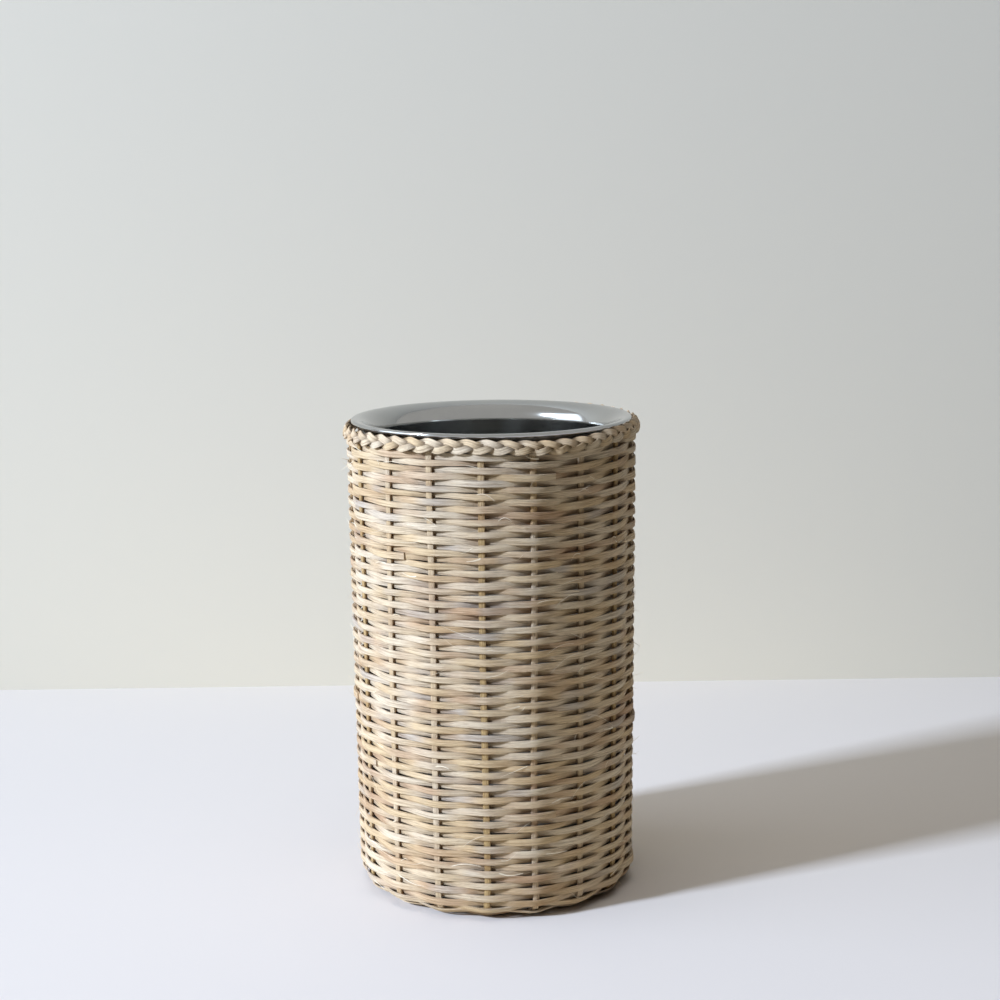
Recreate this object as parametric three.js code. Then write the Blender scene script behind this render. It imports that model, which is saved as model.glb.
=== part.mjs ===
// Wine bottle chiller: a double-walled steel liner that drops into a woven rattan basket.
// Lengths are millimetres, +Z is up, and the origin is the centre of the circle it stands on.
// Stakes run down the wall, round the foot and across the floor. Flat weavers spiral up around
// them, over one stake and under the next, and a plait of three strands hides the stake ends.
import * as THREE from "three";

// Overall sizes
const RIM_HEIGHT = 203.5;
const OUTSIDE_TOP_RADIUS = 62.0;
const OUTSIDE_FOOT_RADIUS = 60.2;
const FIT_GAP = 0.25;

// Rattan stakes: four sticks cross four under the floor, and one odd stake makes the count uneven,
// so that a single weaver passes the other side of each stake on every turn.
const STICKS_EACH_WAY = 4;
const STAKE_WIDTH = 2.8;
const STAKE_THICKNESS = 1.0;
const STAKE_TOP_DROP = 1.1; // stake ends below the liner's rim
const FRONT_STAKE_TURN = -4.5; // degrees from the front to the nearest stake
const FOOT_BEND_RADIUS = 6.5;
const BEND_STEPS = 5;
const FLOOR_DOME = 1.5;
const CROSSING_REACH = 10;
const FAN_RADIUS = 20;
const ODD_STAKE_END_RADIUS = 16;

// Weavers of the wall, the foot and the floor
const WEAVER_WIDTH = 2.2;
const WEAVER_THICKNESS = 0.6;
const ROW_GAP = 0.4;
const ROW_STEP_STAKES = 3; // stakes at the back over which a row steps up to the next
const WALL_WEAVERS = 6;
const FOOT_WIDTH = 2.0;
const FOOT_THICKNESS = 1.4;
const FOOT_TURNS = 2;
const FLOOR_WEAVER_WIDTH = 7.0;
const FLOOR_WEAVER_START = 21.5;
const SPLICE_GAP = 0.6;

// Plaited border
const PLAIT_STRANDS = 3;
const PLAIT_REPEATS = 16;
const PLAIT_WIDTH = 2.1;
const PLAIT_THICKNESS = 0.5;
const PLAIT_SWING_HEIGHT = 1.95; // up and down, from the middle of the plait
const PLAIT_DEPTH = 0.85; // in and out, from the middle of the plait
const STAKE_END_PROUD = 0.6; // stake ends above the plait

// Steel liner
const SHEET = 0.6;
const AIR_GAP = 3.0;
const FLOOR_AIR_GAP = 4.0;
const LINER_CLEARANCE = 1.6;
const LINER_FLOOR_GAP = 0.5;
const RIM_BEAD_RADIUS = 1.0;
const CUP_CORNER_RADIUS = 6.0;
const SHELL_CORNER_RADIUS = 4.0;
const SHELL_FLANGE = 8.0;
const BASE_STEP_WIDTH = 6.0;
const BASE_STEP_HEIGHT = 1.2;
const LINER_SEGMENTS = 26;

const MATERIALS = {
  weaver: new THREE.MeshStandardMaterial({ color: 0xcbb794, roughness: 0.75, metalness: 0 }),
  stake: new THREE.MeshStandardMaterial({ color: 0xc6a877, roughness: 0.75, metalness: 0 }),
  plait: new THREE.MeshStandardMaterial({ color: 0xc9b48c, roughness: 0.75, metalness: 0 }),
  steel: new THREE.MeshStandardMaterial({ color: 0xb8b9bb, roughness: 0.22, metalness: 1 }),
};

// Sizes that follow from the ones above
const stakeCount = 4 * STICKS_EACH_WAY + 1;
const stakeStep = (2 * Math.PI) / stakeCount;
const backStake = Math.floor(stakeCount / 2);
const stakeEdge = STAKE_WIDTH / 2 + FIT_GAP;

// A weaver runs straight from outside one stake to inside the next. Outside, it has to stand off a
// little more at the stake's middle, because it falls away on both sides of it.
const stakeSpacing = (OUTSIDE_FOOT_RADIUS - STAKE_THICKNESS - WEAVER_THICKNESS) * stakeStep;
const standOff = (thickness) => STAKE_THICKNESS / 2 + thickness / 2 + FIT_GAP;
const weaverInset = standOff(WEAVER_THICKNESS);
const weaverFall = Math.tan(stakeStep / 2) + weaverInset / stakeSpacing;
const weaverOutset = (weaverInset + stakeEdge * weaverFall) / (1 - stakeEdge / stakeSpacing);
const halfWall = weaverOutset + WEAVER_THICKNESS / 2;

// The middle surface of the basket: a domed floor, a level ring that the foot weaver lies on, a
// round bend at the foot, then a wall that leans out.
const wallTopRadius = OUTSIDE_TOP_RADIUS - halfWall;
const wallFootRadius = OUTSIDE_FOOT_RADIUS - halfWall;
const floorLevel = standOff(FOOT_THICKNESS) + FOOT_THICKNESS / 2;
const bendCentreHeight = floorLevel + FOOT_BEND_RADIUS;
const stakeTop = RIM_HEIGHT - STAKE_TOP_DROP;
const lean = Math.atan2(wallTopRadius - wallFootRadius, stakeTop - bendCentreHeight);
const bendCentreRadius = wallFootRadius - FOOT_BEND_RADIUS * Math.cos(lean);
const bendLength = FOOT_BEND_RADIUS * (Math.PI / 2 - lean);
const wallFootHeight = bendCentreHeight - FOOT_BEND_RADIUS * Math.sin(lean);
const wallStart = bendCentreRadius + bendLength;
const footPitch = FOOT_WIDTH + ROW_GAP;
const footRow = bendCentreRadius - FOOT_WIDTH / 2;
const domeEdge = bendCentreRadius - FOOT_TURNS * footPitch;
const distanceAtHeight = (height) => wallStart + (height - wallFootHeight) / Math.cos(lean);

// Point and outward normal of the middle surface, by the distance along it from the axis.
function middleSurface(distance) {
  if (distance < bendCentreRadius) {
    const share = Math.min(distance / domeEdge, 1);
    return { r: distance, z: floorLevel + FLOOR_DOME * (1 - share * share), nr: 0, nz: -1 };
  }
  if (distance < wallStart) {
    const turn = Math.PI / 2 - (distance - bendCentreRadius) / FOOT_BEND_RADIUS;
    const nr = Math.cos(turn);
    const nz = -Math.sin(turn);
    const r = bendCentreRadius + FOOT_BEND_RADIUS * nr;
    const z = bendCentreHeight + FOOT_BEND_RADIUS * nz;
    return { r, z, nr, nz };
  }
  const along = distance - wallStart;
  return {
    r: wallFootRadius + along * Math.sin(lean),
    z: wallFootHeight + along * Math.cos(lean),
    nr: Math.cos(lean),
    nz: -Math.sin(lean),
  };
}

const stakeAngle = (number) => -Math.PI / 2 + THREE.MathUtils.degToRad(FRONT_STAKE_TURN) + number * stakeStep;
const polar = (r, angle, z) => new THREE.Vector3(r * Math.cos(angle), r * Math.sin(angle), z);

// A point that stands off the middle surface, and the surface's normal there.
function surfacePoint(distance, angle, offset) {
  const { r, z, nr, nz } = middleSurface(distance);
  return { point: polar(r + offset * nr, angle, z + offset * nz), normal: polar(nr, angle, nz) };
}

// A closed strip of rectangular section, swept through stations of a point, the normal of the
// strip's flat face and the direction across it.
function stripGeometry(stations, width, thickness) {
  const corners = [[-0.5, -0.5], [0.5, -0.5], [0.5, 0.5], [-0.5, 0.5]];
  const positions = [];
  for (const { point, normal, across } of stations) {
    for (const [side, face] of corners) {
      const corner = point.clone().addScaledVector(across, side * width);
      corner.addScaledVector(normal, face * thickness);
      positions.push(corner.x, corner.y, corner.z);
    }
  }
  const sides = corners.length;
  const last = (stations.length - 1) * sides;
  const index = [0, 2, 1, 0, 3, 2, last, last + 1, last + 2, last, last + 2, last + 3];
  for (let start = 0; start < last; start += sides) {
    for (let side = 0; side < sides; side += 1) {
      const a = start + side;
      const b = start + ((side + 1) % sides);
      index.push(a, b, b + sides, a, b + sides, a + sides);
    }
  }
  const geometry = new THREE.BufferGeometry();
  geometry.setAttribute("position", new THREE.Float32BufferAttribute(positions, 3));
  geometry.setIndex(index);
  geometry.computeVertexNormals();
  return geometry;
}

// Stations from points and normals, with the strip lying square to its run.
function stationsAlong(path) {
  return path.map(({ point, normal }, place) => {
    const before = path[Math.max(place - 1, 0)].point;
    const after = path[Math.min(place + 1, path.length - 1)].point;
    const run = after.clone().sub(before).normalize();
    return { point, normal, across: normal.clone().cross(run).normalize() };
  });
}

function namedMesh(name, geometry, material) {
  const mesh = new THREE.Mesh(geometry, material);
  mesh.name = name;
  return mesh;
}

// Stakes

// One end of a stake, from its top down the wall and along the floor to a radius.
function stakeEnd(number, endRadius) {
  const distances = [distanceAtHeight(stakeTop)];
  for (let step = 0; step <= BEND_STEPS; step += 1) {
    distances.push(wallStart - (bendLength * step) / BEND_STEPS);
  }
  distances.push(endRadius);
  return distances.map((distance) => surfacePoint(distance, stakeAngle(number), 0));
}

// A long stake passes right across the floor, in a bundle of sticks that lie side by side.
function longStake(first, second, bundle) {
  const sidewise = new THREE.Vector3(-Math.sin(bundle.angle), Math.cos(bundle.angle), 0);
  const down = new THREE.Vector3(0, 0, -1);
  const height = floorLevel + FLOOR_DOME + bundle.layer;
  const crossing = (reach) => ({
    point: polar(reach, bundle.angle, height).addScaledVector(sidewise, bundle.shift),
    normal: down,
  });
  const path = [
    ...stakeEnd(first, FAN_RADIUS),
    crossing(CROSSING_REACH),
    crossing(-CROSSING_REACH),
    ...stakeEnd(second, FAN_RADIUS).reverse(),
  ];
  return stripGeometry(stationsAlong(path), STAKE_WIDTH, STAKE_THICKNESS);
}

function makeStakes() {
  const group = new THREE.Group();
  const half = STICKS_EACH_WAY;
  const layer = (STAKE_THICKNESS + FIT_GAP) / 2;
  for (const way of [0, 1]) {
    const nearSide = way * half;
    const farSide = nearSide + 2 * half;
    const middle = (half - 1) / 2;
    const angle = (stakeAngle(nearSide + middle) + stakeAngle(farSide + middle) - Math.PI) / 2;
    for (let stick = 0; stick < half; stick += 1) {
      const shift = (stick - middle) * (STAKE_WIDTH + FIT_GAP);
      const bundle = { angle, shift, layer: way === 0 ? -layer : layer };
      const geometry = longStake(nearSide + stick, farSide + half - 1 - stick, bundle);
      group.add(namedMesh(`long_stake_${way * half + stick + 1}`, geometry, MATERIALS.stake));
    }
  }
  const oddPath = stakeEnd(stakeCount - 1, ODD_STAKE_END_RADIUS);
  const oddStake = stripGeometry(stationsAlong(oddPath), STAKE_WIDTH, STAKE_THICKNESS);
  group.add(namedMesh("odd_stake", oddStake, MATERIALS.stake));
  return group;
}

// Weavers

const plaitHalfHeight = PLAIT_SWING_HEIGHT + PLAIT_WIDTH / 2;
const plaitHeight = stakeTop - STAKE_END_PROUD - plaitHalfHeight;
const firstRow = bendCentreRadius + ROW_GAP + WEAVER_WIDTH / 2;
const lastRow = distanceAtHeight(plaitHeight - plaitHalfHeight - FIT_GAP) - WEAVER_WIDTH / 2;
const rowSteps = Math.floor((lastRow - firstRow) / (WEAVER_WIDTH + ROW_GAP));
const rowPitch = (lastRow - firstRow) / rowSteps;

// Weavers count stakes as they go round, from the one at the back, and pass outside every second
// one. The wall's first turn starts at zero, and its top row passes outside the front stake.
const topCount = (rowSteps + 1) * stakeCount;
const frontCount = topCount - backStake;
const isOutside = (count) => (count - frontCount) % 2 === 0;

// Rows lie level, and each steps up to the next over a few stakes at the back.
function rowNumber(count) {
  const turn = Math.floor(count / stakeCount);
  return turn + Math.min((count - turn * stakeCount) / ROW_STEP_STAKES, 1);
}

// A flat weaver lies level across each stake, and a plain one only touches it at its middle.
function weaverGeometry({ from, to, distanceAt, outset, inset, width, thickness, flat }) {
  const stations = [];
  const addStation = (count, angleShift) => {
    const angle = stakeAngle(backStake + count) + angleShift;
    const { point, normal } = surfacePoint(distanceAt(count), angle, isOutside(count) ? outset : -inset);
    const run = new THREE.Vector3(-Math.sin(angle), Math.cos(angle), 0);
    stations.push({ point, normal, across: normal.clone().cross(run) });
  };
  for (let count = from; count <= to; count += 1) {
    const radius = middleSurface(distanceAt(count)).r;
    if (flat) {
      addStation(count, -stakeEdge / radius);
      addStation(count, stakeEdge / radius);
    } else {
      const end = (count === from ? 1 : 0) - (count === to ? 1 : 0);
      addStation(count, (end * SPLICE_GAP) / 2 / radius);
    }
  }
  return stripGeometry(stations, width, thickness);
}

// Lengths of weaver meet behind a stake, where a row is inside.
function makeWallWeavers() {
  const group = new THREE.Group();
  const start = ROW_STEP_STAKES + 1;
  const splice = (number) => {
    const count = Math.round(start + ((topCount - start) * number) / WALL_WEAVERS);
    return isOutside(count) ? count - 1 : count;
  };
  for (let weaver = 0; weaver < WALL_WEAVERS; weaver += 1) {
    const geometry = weaverGeometry({
      from: splice(weaver),
      to: splice(weaver + 1),
      distanceAt: (count) => firstRow + (rowNumber(count) - 1) * rowPitch,
      outset: weaverOutset,
      inset: weaverInset,
      width: WEAVER_WIDTH,
      thickness: WEAVER_THICKNESS,
      flat: false,
    });
    group.add(namedMesh(`wall_weaver_${weaver + 1}`, geometry, MATERIALS.weaver));
  }
  return group;
}

// The foot weaver lies flat under each stake, and those flats are what the basket stands on.
function makeFootWeaver() {
  const geometry = weaverGeometry({
    from: ROW_STEP_STAKES - FOOT_TURNS * stakeCount,
    to: 0,
    distanceAt: (count) => footRow + rowNumber(count) * footPitch,
    outset: standOff(FOOT_THICKNESS),
    inset: standOff(FOOT_THICKNESS),
    width: FOOT_WIDTH,
    thickness: FOOT_THICKNESS,
    flat: true,
  });
  return namedMesh("foot_weaver", geometry, MATERIALS.weaver);
}

function makeFloorWeaver() {
  const pitch = FLOOR_WEAVER_WIDTH + ROW_GAP;
  const innerRow = FLOOR_WEAVER_START + FLOOR_WEAVER_WIDTH / 2;
  const outerRow = domeEdge - FLOOR_WEAVER_WIDTH / 2;
  const geometry = weaverGeometry({
    from: 0,
    to: Math.floor(((outerRow - innerRow) / pitch) * stakeCount),
    distanceAt: (count) => innerRow + (count / stakeCount) * pitch,
    outset: weaverInset,
    inset: weaverInset,
    width: FLOOR_WEAVER_WIDTH,
    thickness: WEAVER_THICKNESS,
    flat: true,
  });
  return namedMesh("floor_weaver", geometry, MATERIALS.weaver);
}

// Plaited border: each strand is a third of a repeat behind the last. It dives as it passes over the
// top and again under the bottom, so the plait's chevrons point the way it runs.
function makePlait() {
  const group = new THREE.Group();
  const stepsPerRepeat = 4;
  const steps = PLAIT_REPEATS * stepsPerRepeat;
  const stakeOutside = wallTopRadius + STAKE_THICKNESS / 2;
  const radius = stakeOutside + FIT_GAP + PLAIT_DEPTH + PLAIT_THICKNESS / 2;
  const butt = SPLICE_GAP / 2 / radius;
  const height = [1, 1, -1, -1];
  const depth = [-1, 1, -1, 1];
  for (let strand = 0; strand < PLAIT_STRANDS; strand += 1) {
    const start = Math.PI / 2 + ((strand / PLAIT_STRANDS) * 2 * Math.PI) / PLAIT_REPEATS;
    const path = [];
    for (let step = 0; step <= steps; step += 1) {
      const end = (step === 0 ? 1 : 0) - (step === steps ? 1 : 0);
      const angle = start + (step / steps) * 2 * Math.PI + end * butt;
      const phase = step % stepsPerRepeat;
      const r = radius + depth[phase] * PLAIT_DEPTH;
      const z = plaitHeight + height[phase] * PLAIT_SWING_HEIGHT;
      path.push({ point: polar(r, angle, z), normal: polar(1, angle, 0) });
    }
    const geometry = stripGeometry(stationsAlong(path), PLAIT_WIDTH, PLAIT_THICKNESS);
    group.add(namedMesh(`plait_strand_${strand + 1}`, geometry, MATERIALS.plait));
  }
  return group;
}

// Steel liner, in its own frame with its underside at zero

// The liner has to pass the narrower end of the basket.
const linerRadius = Math.min(OUTSIDE_TOP_RADIUS, OUTSIDE_FOOT_RADIUS) - 2 * halfWall - LINER_CLEARANCE;
const crossingTop = floorLevel + FLOOR_DOME + FIT_GAP / 2 + STAKE_THICKNESS;
const floorWeaverTop = floorLevel + FLOOR_DOME + weaverInset + WEAVER_THICKNESS / 2;
const linerBottom = Math.max(crossingTop, floorWeaverTop) + LINER_FLOOR_GAP;
const linerHeight = RIM_HEIGHT - linerBottom;
const rimRadius = wallTopRadius - STAKE_THICKNESS / 2 - FIT_GAP;
const beadRadius = rimRadius - RIM_BEAD_RADIUS;
const cupRadius = linerRadius - 2 * SHEET - AIR_GAP;
const flareRadius = beadRadius - cupRadius;
const flareHeight = linerHeight - flareRadius;
const cupFloor = SHEET + BASE_STEP_HEIGHT + FLOOR_AIR_GAP + SHEET;

// Points on an arc in the plane of the profile, with angles in degrees from the outward direction.
function arcPoints(r, z, radius, fromDegrees, toDegrees, steps) {
  return Array.from({ length: steps + 1 }, (_, step) => {
    const angle = THREE.MathUtils.degToRad(fromDegrees + ((toDegrees - fromDegrees) * step) / steps);
    return new THREE.Vector2(r + radius * Math.cos(angle), z + radius * Math.sin(angle));
  });
}

// A turned sheet-metal piece. The profile runs anticlockwise round the section, so faces point out.
function turned(profile) {
  const closed = [...profile, profile[0]];
  const lathe = new THREE.LatheGeometry(closed, LINER_SEGMENTS);
  lathe.rotateX(Math.PI / 2);
  return lathe;
}

// The inner cup flares at its mouth into a rolled rim.
function makeInnerCup() {
  const corner = CUP_CORNER_RADIUS;
  const underFlare = flareRadius - SHEET;
  const beadHeight = linerHeight - RIM_BEAD_RADIUS;
  const joinDegrees = 90 + THREE.MathUtils.radToDeg(Math.asin(RIM_BEAD_RADIUS / underFlare));
  const profile = [
    new THREE.Vector2(0, cupFloor - SHEET),
    ...arcPoints(cupRadius - corner, cupFloor + corner, corner + SHEET, -90, 0, 2),
    ...arcPoints(beadRadius, flareHeight, underFlare, 180, joinDegrees, 4),
    ...arcPoints(beadRadius, beadHeight, RIM_BEAD_RADIUS, -150, 90, 4),
    ...arcPoints(beadRadius, flareHeight, flareRadius, 90, 180, 4).slice(1),
    ...arcPoints(cupRadius - corner, cupFloor + corner, corner, 0, -90, 2),
    new THREE.Vector2(0, cupFloor),
  ];
  return namedMesh("liner_inner_cup", turned(profile), MATERIALS.steel);
}

// The outer shell reaches up under the flare and turns in at its foot.
function makeOuterShell() {
  const inside = linerRadius - SHEET;
  const corner = SHELL_CORNER_RADIUS;
  const underFlare = flareRadius - SHEET;
  const top = flareHeight + Math.sqrt(underFlare ** 2 - (beadRadius - inside) ** 2) - FIT_GAP;
  const flangeEdge = linerRadius - SHELL_FLANGE;
  const profile = [
    new THREE.Vector2(flangeEdge, 0),
    ...arcPoints(linerRadius - corner, corner, corner, -90, 0, 2),
    new THREE.Vector2(linerRadius, top),
    new THREE.Vector2(inside, top),
    ...arcPoints(linerRadius - corner, corner, corner - SHEET, 0, -90, 2),
    new THREE.Vector2(flangeEdge, SHEET),
  ];
  return namedMesh("liner_outer_shell", turned(profile), MATERIALS.steel);
}

// The base plate closes the shell, with its middle pressed up in a step.
function makeBasePlate() {
  const edge = linerRadius - SHELL_FLANGE - FIT_GAP;
  const step = edge - BASE_STEP_WIDTH;
  const stepFoot = step + BASE_STEP_HEIGHT;
  const profile = [
    new THREE.Vector2(0, BASE_STEP_HEIGHT),
    new THREE.Vector2(step, BASE_STEP_HEIGHT),
    new THREE.Vector2(stepFoot, 0),
    new THREE.Vector2(edge, 0),
    new THREE.Vector2(edge, SHEET),
    new THREE.Vector2(stepFoot, SHEET),
    new THREE.Vector2(step, BASE_STEP_HEIGHT + SHEET),
    new THREE.Vector2(0, BASE_STEP_HEIGHT + SHEET),
  ];
  return namedMesh("liner_base_plate", turned(profile), MATERIALS.steel);
}

const basket = new THREE.Group();
basket.add(makeStakes(), makeWallWeavers(), makeFootWeaver(), makeFloorWeaver(), makePlait());

const liner = new THREE.Group();
liner.position.z = linerBottom;
liner.add(makeInnerCup(), makeOuterShell(), makeBasePlate());

const chiller = new THREE.Group();
chiller.add(basket, liner);

export default chiller;
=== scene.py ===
"""Woven rattan bottle chiller with a lift-out steel liner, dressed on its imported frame."""
import math
import random

import bmesh
import bpy
from bpy.props import FloatProperty, FloatVectorProperty, IntProperty, PointerProperty
from mathutils import Matrix, Vector, noise


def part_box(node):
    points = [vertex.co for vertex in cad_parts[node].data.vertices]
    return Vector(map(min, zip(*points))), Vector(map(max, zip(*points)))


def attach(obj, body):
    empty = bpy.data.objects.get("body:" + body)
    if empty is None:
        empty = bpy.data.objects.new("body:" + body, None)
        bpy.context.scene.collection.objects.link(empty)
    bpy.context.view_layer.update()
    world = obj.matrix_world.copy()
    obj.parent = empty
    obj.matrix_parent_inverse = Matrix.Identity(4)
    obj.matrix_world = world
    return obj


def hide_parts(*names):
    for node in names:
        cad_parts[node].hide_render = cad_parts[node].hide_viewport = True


bl_info = {
    "name": "Rattan Bottle Chiller",
    "version": (1, 0, 0),
    "blender": (4, 5, 0),
    "location": "View3D > Sidebar > Chiller",
    "description": "Makes a woven rattan bottle chiller with a polished steel liner",
    "category": "Add Mesh",
}

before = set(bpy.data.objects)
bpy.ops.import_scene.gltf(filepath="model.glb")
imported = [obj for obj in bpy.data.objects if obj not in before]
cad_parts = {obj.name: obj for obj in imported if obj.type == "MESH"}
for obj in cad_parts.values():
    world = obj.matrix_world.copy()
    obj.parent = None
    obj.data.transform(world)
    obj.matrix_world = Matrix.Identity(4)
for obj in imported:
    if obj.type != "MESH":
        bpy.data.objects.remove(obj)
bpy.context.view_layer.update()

MM = 0.001
FULL_TURN = 2.0 * math.pi
CRISP_EDGE = math.radians(38)
SAME_PLACE = 1e-7


def nodes_named(start):
    return sorted(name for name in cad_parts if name.startswith(start))


LONG_STAKE_NODES = nodes_named("long_stake")
WALL_NODES = nodes_named("wall_weaver")
PLAIT_NODES = nodes_named("plait_strand")


# Settings


def linear(red, green, blue):
    """Scene colour of a colour given in parts of 255."""

    def channel(value):
        share = value / 255.0
        return share / 12.92 if share <= 0.04045 else ((share + 0.055) / 1.055) ** 2.4

    return channel(red), channel(green), channel(blue)


def number_property(name, description, default, unit="NONE"):
    return FloatProperty(name=name, description=description, default=default, unit=unit)


def count_property(name, description, default):
    return IntProperty(name=name, description=description, default=default)


def length_property(name, description, millimetres):
    default = millimetres * MM
    return FloatProperty(name=name, description=description, default=default, unit="LENGTH", precision=5)


def angle_property(name, description, degrees):
    return FloatProperty(name=name, description=description, default=math.radians(degrees), subtype="ANGLE")


def share_property(name, description, share):
    return FloatProperty(
        name=name, description=description, default=share, subtype="FACTOR", min=0.0, max=1.0
    )


def place_property(name, description, metres):
    return FloatVectorProperty(name=name, description=description, default=metres, subtype="TRANSLATION")


def colour_property(name, description, colour):
    return FloatVectorProperty(
        name=name, description=description, default=colour, subtype="COLOR", size=3, min=0.0, max=1.0
    )


class WeaveSettings(bpy.types.PropertyGroup):
    """Sizes of the stakes and of the strips woven round them"""

    sticks_each_way: count_property("Sticks Each Way", "Long stakes in each bundle of the floor", 4)
    front_turn: angle_property("Front Turn", "Turn from the front to the nearest stake", -4.5)
    rows: count_property("Rows", "Rows of strip in the wall", 75)
    step_stakes: count_property("Step Stakes", "Stakes over which a row steps up at the back", 3)
    top_radius: length_property("Top Radius", "Middle of the wall at the stake ends", 60.4)
    foot_radius: length_property("Foot Radius", "Middle of the wall above the foot bend", 58.6)
    bend_radius: length_property("Bend Radius", "Middle of the bend at the foot", 6.9)
    floor_level: length_property("Floor Level", "Middle of the stakes where the basket stands", 2.15)
    floor_dome: length_property("Floor Dome", "Rise of the floor's middle", 1.5)
    stake_width: length_property("Stake Width", "Width of a stake", 2.8)
    stake_thickness: length_property("Stake Thickness", "Thickness of a stake", 1.2)
    stake_drop: length_property("Stake Drop", "How far the stakes end below their place in the frame", 1.3)
    strip_width: length_property("Strip Width", "Width of a wall strip where it passes a stake", 2.92)
    strip_thickness: length_property("Strip Thickness", "Thickness of a wall strip", 0.7)
    weave_depth: length_property("Weave Depth", "How far a strip stands off the middle of the wall", 1.2)
    row_gap: length_property("Row Gap", "Gap between the foot and the first row", 0.4)
    row_width: length_property("Row Width", "Height that a row takes in the wall", 2.2)
    wander: length_property("Wander", "How far a strip strays up and down", 0.25)
    row_wave: length_property("Row Wave", "How far neighbouring rows rise and fall together", 0.45)
    tilt: length_property("Tilt", "How far the top of the wall rises on its high side", 0.9)
    high_side: angle_property("High Side", "Direction of the wall's high side", 25)
    sag: length_property("Sag", "How far the top of the wall sinks at the front", 2.0)
    sag_side: angle_property("Sag Side", "Direction of the sag", -64)
    sag_spread: angle_property("Sag Spread", "Half width of the sag", 24)
    tilt_reach: length_property("Tilt Reach", "Height of the rows that take up the tilt and the sag", 60.0)
    crowding: angle_property("Crowding", "How far the stakes at the sides are set towards the front", 2.6)
    stake_stray: angle_property("Stake Stray", "How far a stake strays sideways", 1.1)
    foot_width: length_property("Foot Width", "Width of the foot strip", 2.0)
    foot_thickness: length_property("Foot Thickness", "Thickness of the foot strip", 1.4)
    foot_pitch: length_property("Foot Pitch", "Distance between the foot's two turns", 2.4)
    floor_width: length_property("Floor Width", "Width of the floor strip", 7.0)
    floor_start: length_property("Floor Start", "Inner edge of the floor strip", 21.5)
    crossing_reach: length_property("Crossing Reach", "Half length of the crossing under the floor", 10.0)
    fan_radius: length_property("Fan Radius", "Where the sticks fan out from the crossing", 20.0)
    odd_end: length_property("Odd Stake End", "Where the odd stake ends in the floor", 16.0)
    fit_gap: length_property("Fit Gap", "Gap between sticks that lie together", 0.15)
    fibres: count_property("Fibres", "Loose fibres on the wall", 230)
    slivers: count_property("Slivers", "Peeled slivers on the wall", 60)
    seed: count_property("Seed", "Start of the random choices", 7)


class PlaitSettings(bpy.types.PropertyGroup):
    """Sizes of the plaited border"""

    repeats: count_property("Repeats", "Times that each strand goes up and down", 16)
    strand_width: length_property("Strand Width", "Width of a strand", 2.75)
    strand_thickness: length_property("Strand Thickness", "Thickness of a strand", 0.7)
    swing: length_property("Swing", "How far a strand goes up and down", 1.75)
    depth: length_property("Depth", "How far a strand goes in and out", 0.75)
    lift: length_property("Lift", "How far the border sits above its place in the frame", 0.75)
    roll: angle_property("Roll", "How far strands lean at the border's edges", 16)
    lean: angle_property("Lean", "How far the border leans in over the stakes", 15)
    inset: length_property("Inset", "How far the border is set in towards the stakes", 0.2)


class LinerSettings(bpy.types.PropertyGroup):
    """Sizes of the steel liner"""

    sheet: length_property("Sheet", "Thickness of the steel sheet", 0.6)
    bead_radius: length_property("Bead Radius", "Radius of the rolled rim", 1.0)
    rim_reach: length_property("Rim Reach", "How far the rim reaches past its place in the frame", 0.6)
    cup_corner: length_property("Cup Corner", "Radius inside the cup's floor", 6.0)
    shell_corner: length_property("Shell Corner", "Radius round the shell's foot", 4.0)
    air_gap: length_property("Air Gap", "Space between the two walls", 3.0)
    flange: length_property("Flange", "Width of the shell's turned-in foot", 8.0)
    base_step: length_property("Base Step", "Width of the base plate's flat edge", 6.0)
    turn_steps: count_property("Turn Steps", "Steps round the liner", 144)


class FinishSettings(bpy.types.PropertyGroup):
    """Colours and wear of the rattan, the painted shade at its edges and in its crossings, and colours of the
    steel
    """

    cream: colour_property("Cream", "Palest split rattan", linear(240, 221, 197))
    straw: colour_property("Straw", "Yellower split rattan", linear(231, 203, 165))
    rosy: colour_property("Rosy", "Pinkish brown split rattan", linear(214, 181, 150))
    silver: colour_property("Silver", "Weathered grey rattan", linear(212, 198, 185))
    hair: colour_property("Hair", "Loose fibres", linear(250, 240, 222))
    honey: colour_property("Honey", "Stakes", linear(210, 178, 128))
    bark: colour_property("Bark", "Dark fibres and cut ends", linear(118, 78, 40))
    stain: colour_property("Stain", "Weathered patches", linear(198, 160, 127))
    # Painted shade: the dark brown towards which rattan is darkened deep in the crossings.
    crease_shade_colour: colour_property("Crease Shade Colour", "Rattan deep in the crossings", linear(70, 44, 20))
    steel: colour_property("Steel", "Polished stainless sheet", linear(190, 190, 188))
    satin: colour_property("Satin", "Brushed outside of the liner", linear(168, 166, 161))
    darkness: share_property("Darkness", "Share of bark in the dark fibres", 0.62)
    streaks: share_property("Streaks", "How dark the streaks between fibres are", 0.66)
    # Painted shade along the edges of each strip.
    edges: share_property("Edges", "How dark the edges of a strip are", 0.28)
    patches: share_property("Patches", "How strong the weathered patches are", 0.5)
    blotches: share_property("Blotches", "How dark the blotches along a strip are", 0.45)
    # How strong the painted shade deep in the crossings is.
    crease_shade_strength: share_property("Crease Shade Strength", "How dark a strip gets deep in the crossings", 0.65)


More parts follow.
